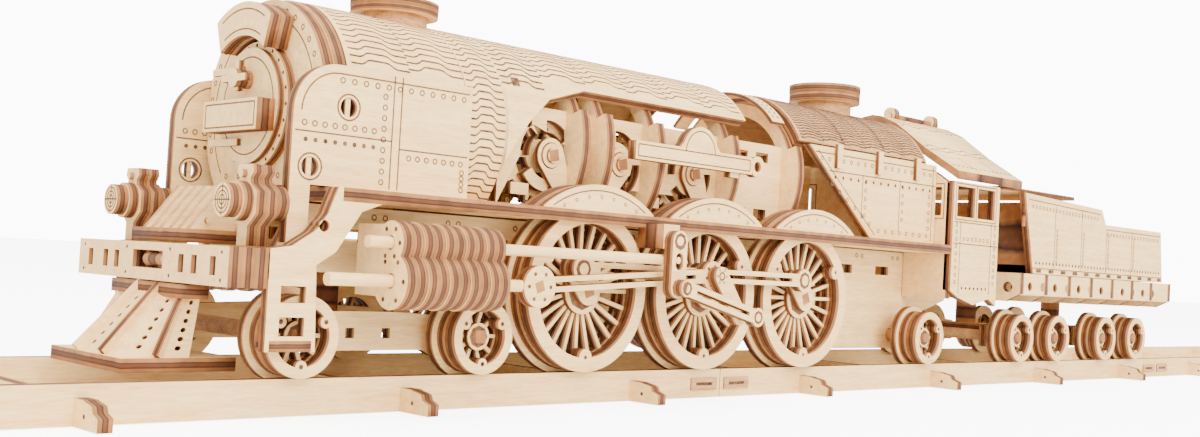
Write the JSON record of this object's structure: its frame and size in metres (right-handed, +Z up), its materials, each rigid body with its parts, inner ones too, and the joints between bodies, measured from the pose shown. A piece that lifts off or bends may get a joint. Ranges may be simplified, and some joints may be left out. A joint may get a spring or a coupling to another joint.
{
  "type": "wooden 3d jigsaw model",
  "caption": "Laser-cut plywood jigsaw model of a steam locomotive and tender that roll along their own wooden track, with turning wheels, rods and gears.",
  "frame": {"origin": "on the ground under the middle of the track, halfway across it", "axes": "+X along the track towards the tender, the locomotive's front pointing to -X; +Y to the locomotive's right side; +Z up"},
  "size_m": [0.901, 0.0984, 0.103],
  "materials": {
    "plywood_face": "raw pale birch plywood, laser cut, matt",
    "plywood_stack": "raw plywood seen mostly on its scorched laser-cut edges, matt",
    "plywood_burnt": "plywood darkened by close laser slots, matt"
  },
  "bodies": {
    "track": {"track_front": "plywood_face", "track_middle": "plywood_face", "track_rear": "plywood_face"},
    "locomotive": {"main_frame": "plywood_face", "buffer_beam": "plywood_face", "cowcatcher": "plywood_stack", "front_grille": "plywood_stack", "smokebox_front": "plywood_face", "headboard": "plywood_face", "boiler_cladding": "plywood_face", "boiler_ribs": "plywood_stack", "chimney": "plywood_stack", "steam_dome": "plywood_stack", "firebox_cladding": "plywood_burnt", "firebox_panel_left": "plywood_face", "firebox_panel_right": "plywood_face", "cab_body": "plywood_face", "cab_roof": "plywood_face", "running_board_left": "plywood_face", "running_board_right": "plywood_face", "smoke_deflector_left": "plywood_face", "smoke_deflector_right": "plywood_face", "lantern_left": "plywood_stack", "lantern_right": "plywood_stack", "name_bar_left": "plywood_stack", "name_bar_right": "plywood_stack", "cylinder_left": "plywood_stack", "cylinder_right": "plywood_stack"},
    "smokebox_door": {"smokebox_door": "plywood_face"},
    "leading_bogie": {"leading_bogie": "plywood_stack"},
    "leading_axle_front": {"leading_wheels_front": "plywood_face"},
    "leading_axle_rear": {"leading_wheels_rear": "plywood_face"},
    "driving_axle_front": {"driving_wheels_front": "plywood_face"},
    "driving_axle_middle": {"driving_wheels_middle": "plywood_face"},
    "driving_axle_rear": {"driving_wheels_rear": "plywood_face"},
    "trailing_axle": {"trailing_wheels": "plywood_face"},
    "gear_front": {"boiler_gear_front": "plywood_stack"},
    "gear_middle": {"boiler_gear_middle": "plywood_stack"},
    "gear_rear": {"boiler_gear_rear": "plywood_stack"},
    "tender": {"tender_body": "plywood_face", "tender_top_board": "plywood_stack", "tender_frame": "plywood_face"},
    "tender_bogie_front": {"tender_bogie_front": "plywood_stack"},
    "tender_bogie_rear": {"tender_bogie_rear": "plywood_stack"},
    "tender_front_bogie_axle_front": {"tender_front_bogie_wheels_front": "plywood_face"},
    "tender_front_bogie_axle_rear": {"tender_front_bogie_wheels_rear": "plywood_face"},
    "tender_rear_bogie_axle_front": {"tender_rear_bogie_wheels_front": "plywood_face"},
    "tender_rear_bogie_axle_rear": {"tender_rear_bogie_wheels_rear": "plywood_face"},
    "coupling_rod_left": {"coupling_rod_left": "plywood_stack"},
    "main_rod_left": {"main_rod_left": "plywood_stack"},
    "crosshead_left": {"crosshead_left": "plywood_stack"},
    "valve_link_left": {"valve_link_left": "plywood_stack"},
    "valve_rod_left": {"valve_rod_left": "plywood_stack"},
    "eccentric_rod_left": {"eccentric_rod_left": "plywood_stack"},
    "coupling_rod_right": {"coupling_rod_right": "plywood_stack"},
    "main_rod_right": {"main_rod_right": "plywood_stack"},
    "crosshead_right": {"crosshead_right": "plywood_stack"},
    "valve_link_right": {"valve_link_right": "plywood_stack"},
    "valve_rod_right": {"valve_rod_right": "plywood_stack"},
    "eccentric_rod_right": {"eccentric_rod_right": "plywood_stack"}
  },
  "joints": [
    {"name": "travel", "type": "slide", "parent": "track", "child": "locomotive", "axis": [1, 0, 0], "range_m": [-0.13132, 0.26264]},
    {"name": "driving_axle_front_turn", "type": "hinge", "parent": "locomotive", "child": "driving_axle_front", "pos_m": [-0.2074, 0, 0.0292], "axis": [0, 1, 0], "continuous": true},
    {"name": "driving_axle_middle_turn", "type": "hinge", "parent": "locomotive", "child": "driving_axle_middle", "pos_m": [-0.1612, 0, 0.0292], "axis": [0, 1, 0], "continuous": true},
    {"name": "driving_axle_rear_turn", "type": "hinge", "parent": "locomotive", "child": "driving_axle_rear", "pos_m": [-0.115, 0, 0.0292], "axis": [0, 1, 0], "continuous": true},
    {"name": "leading_bogie_swivel", "type": "hinge", "parent": "locomotive", "child": "leading_bogie", "pos_m": [-0.2662, 0, 0.0266], "axis": [0, 0, 1], "range_deg": [-0.8, 0.8]},
    {"name": "leading_axle_front_turn", "type": "hinge", "parent": "leading_bogie", "child": "leading_axle_front", "pos_m": [-0.291, 0, 0.0172], "axis": [0, 1, 0], "continuous": true},
    {"name": "leading_axle_rear_turn", "type": "hinge", "parent": "leading_bogie", "child": "leading_axle_rear", "pos_m": [-0.2414, 0, 0.0172], "axis": [0, 1, 0], "continuous": true},
    {"name": "trailing_axle_turn", "type": "hinge", "parent": "locomotive", "child": "trailing_axle", "pos_m": [-0.0435, 0, 0.0172], "axis": [0, 1, 0], "continuous": true},
    {"name": "gear_front_turn", "type": "hinge", "parent": "locomotive", "child": "gear_front", "pos_m": [-0.2132, 0, 0.0638], "axis": [0, 1, 0], "continuous": true},
    {"name": "gear_middle_turn", "type": "hinge", "parent": "locomotive", "child": "gear_middle", "pos_m": [-0.1876, 0, 0.0638], "axis": [0, 1, 0], "continuous": true},
    {"name": "gear_rear_turn", "type": "hinge", "parent": "locomotive", "child": "gear_rear", "pos_m": [-0.1573, 0, 0.0638], "axis": [0, 1, 0], "continuous": true},
    {"name": "door_swing", "type": "hinge", "parent": "locomotive", "child": "smokebox_door", "pos_m": [-0.2897, 0.0165, 0.0684], "axis": [0, 0, -1], "range_deg": [0, 100]},
    {"name": "drawbar_yaw", "type": "hinge", "parent": "locomotive", "child": "tender", "pos_m": [-0.0056, 0, 0.0355], "axis": [0, 0, 1], "range_deg": [-0.15, 0.15]},
    {"name": "tender_bogie_front_swivel", "type": "hinge", "parent": "tender", "child": "tender_bogie_front", "pos_m": [0.0364, 0, 0.0266], "axis": [0, 0, 1], "range_deg": [-0.8, 0.8]},
    {"name": "tender_front_bogie_axle_front_turn", "type": "hinge", "parent": "tender_bogie_front", "child": "tender_front_bogie_axle_front", "pos_m": [0.0216, 0, 0.0172], "axis": [0, 1, 0], "continuous": true},
    {"name": "tender_front_bogie_axle_rear_turn", "type": "hinge", "parent": "tender_bogie_front", "child": "tender_front_bogie_axle_rear", "pos_m": [0.0512, 0, 0.0172], "axis": [0, 1, 0], "continuous": true},
    {"name": "tender_bogie_rear_swivel", "type": "hinge", "parent": "tender", "child": "tender_bogie_rear", "pos_m": [0.1082, 0, 0.0266], "axis": [0, 0, 1], "range_deg": [-0.8, 0.8]},
    {"name": "tender_rear_bogie_axle_front_turn", "type": "hinge", "parent": "tender_bogie_rear", "child": "tender_rear_bogie_axle_front", "pos_m": [0.0934, 0, 0.0172], "axis": [0, 1, 0], "continuous": true},
    {"name": "tender_rear_bogie_axle_rear_turn", "type": "hinge", "parent": "tender_bogie_rear", "child": "tender_rear_bogie_axle_rear", "pos_m": [0.123, 0, 0.0172], "axis": [0, 1, 0], "continuous": true},
    {"name": "coupling_rod_left_turn", "type": "hinge", "parent": "driving_axle_middle", "child": "coupling_rod_left", "pos_m": [-0.16672, 0, 0.03472], "axis": [0, 1, 0], "continuous": true},
    {"name": "main_rod_left_turn", "type": "hinge", "parent": "driving_axle_middle", "child": "main_rod_left", "pos_m": [-0.16672, 0, 0.03472], "axis": [0, 1, 0], "continuous": true},
    {"name": "eccentric_rod_left_turn", "type": "hinge", "parent": "driving_axle_middle", "child": "eccentric_rod_left", "pos_m": [-0.1582, 0, 0.024], "axis": [0, 1, 0], "continuous": true},
    {"name": "crosshead_left_stroke", "type": "slide", "parent": "locomotive", "child": "crosshead_left", "axis": [1, 0, 0], "range_m": [-0.0023, 0.0133]},
    {"name": "valve_link_left_swing", "type": "hinge", "parent": "locomotive", "child": "valve_link_left", "pos_m": [-0.188, 0, 0.0434], "axis": [0, 1, 0], "range_deg": [-12.1, 12.1]},
    {"name": "valve_rod_left_stroke", "type": "slide", "parent": "locomotive", "child": "valve_rod_left", "axis": [1, 0, 0], "range_m": [-0.00107, 0.00107]},
    {"name": "coupling_rod_right_turn", "type": "hinge", "parent": "driving_axle_middle", "child": "coupling_rod_right", "pos_m": [-0.15568, 0, 0.03472], "axis": [0, 1, 0], "continuous": true},
    {"name": "main_rod_right_turn", "type": "hinge", "parent": "driving_axle_middle", "child": "main_rod_right", "pos_m": [-0.15568, 0, 0.03472], "axis": [0, 1, 0], "continuous": true},
    {"name": "eccentric_rod_right_turn", "type": "hinge", "parent": "driving_axle_middle", "child": "eccentric_rod_right", "pos_m": [-0.1664, 0, 0.0262], "axis": [0, 1, 0], "continuous": true},
    {"name": "crosshead_right_stroke", "type": "slide", "parent": "locomotive", "child": "crosshead_right", "axis": [1, 0, 0], "range_m": [-0.0133, 0.0023]},
    {"name": "valve_link_right_swing", "type": "hinge", "parent": "locomotive", "child": "valve_link_right", "pos_m": [-0.188, 0, 0.0434], "axis": [0, 1, 0], "range_deg": [-12.1, 12.1]},
    {"name": "valve_rod_right_stroke", "type": "slide", "parent": "locomotive", "child": "valve_rod_right", "axis": [1, 0, 0], "range_m": [-0.00107, 0.00107]}
  ],
  "couplings": [
    {"joint": "driving_axle_front_turn", "follows": "travel", "rad_per_m": 47.847},
    {"joint": "driving_axle_middle_turn", "follows": "travel", "rad_per_m": 47.847},
    {"joint": "driving_axle_rear_turn", "follows": "travel", "rad_per_m": 47.847},
    {"joint": "leading_axle_front_turn", "follows": "travel", "rad_per_m": 112.36},
    {"joint": "leading_axle_rear_turn", "follows": "travel", "rad_per_m": 112.36},
    {"joint": "trailing_axle_turn", "follows": "travel", "rad_per_m": 112.36},
    {"joint": "gear_front_turn", "follows": "travel", "rad_per_m": 47.847},
    {"joint": "gear_middle_turn", "follows": "travel", "rad_per_m": -47.847},
    {"joint": "gear_rear_turn", "follows": "travel", "rad_per_m": 47.847},
    {"joint": "tender_front_bogie_axle_front_turn", "follows": "travel", "rad_per_m": 112.36},
    {"joint": "tender_front_bogie_axle_rear_turn", "follows": "travel", "rad_per_m": 112.36},
    {"joint": "tender_rear_bogie_axle_front_turn", "follows": "travel", "rad_per_m": 112.36},
    {"joint": "tender_rear_bogie_axle_rear_turn", "follows": "travel", "rad_per_m": 112.36},
    {"joint": "coupling_rod_left_turn", "follows": "travel", "rad_per_m": -47.847},
    {"joint": "main_rod_left_turn", "follows": "travel", "rad_per_m": -47.847},
    {"joint": "eccentric_rod_left_turn", "follows": "travel", "rad_per_m": -47.847},
    {"joint": "valve_link_left_swing", "follows": "valve_rod_left_stroke", "rad_per_m": -196.08},
    {"joint": "coupling_rod_right_turn", "follows": "travel", "rad_per_m": -47.847},
    {"joint": "main_rod_right_turn", "follows": "travel", "rad_per_m": -47.847},
    {"joint": "eccentric_rod_right_turn", "follows": "travel", "rad_per_m": -47.847},
    {"joint": "valve_link_right_swing", "follows": "valve_rod_right_stroke", "rad_per_m": -196.08}
  ]
}
